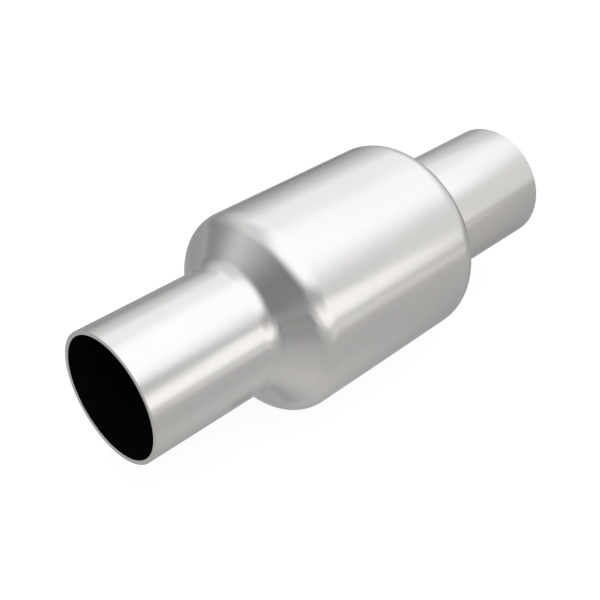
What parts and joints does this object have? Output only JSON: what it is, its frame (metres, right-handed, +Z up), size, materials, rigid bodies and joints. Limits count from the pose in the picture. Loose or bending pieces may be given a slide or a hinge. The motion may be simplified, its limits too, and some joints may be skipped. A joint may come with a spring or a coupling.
{
  "type": "catalytic converter",
  "caption": "Round exhaust catalytic converter: spun steel shell with a straight neck at each end, ceramic honeycomb inside.",
  "frame": {"origin": "on the flow axis at the middle of the body", "axes": "+X along the gas flow, from the inlet neck to the outlet neck; +Z up, as it lies in a level exhaust line"},
  "size_m": [0.266, 0.1016, 0.1016],
  "materials": {
    "spun_stainless": "satin, spun",
    "cordierite": "matt, washcoated",
    "intumescent_mat": "fibrous",
    "knitted_wire": "knitted mesh"
  },
  "bodies": {
    "root": {"shell": "spun_stainless", "substrate": "cordierite", "support_mat": "intumescent_mat", "inlet_seal": "knitted_wire", "outlet_seal": "knitted_wire"}
  },
  "joints": []
}
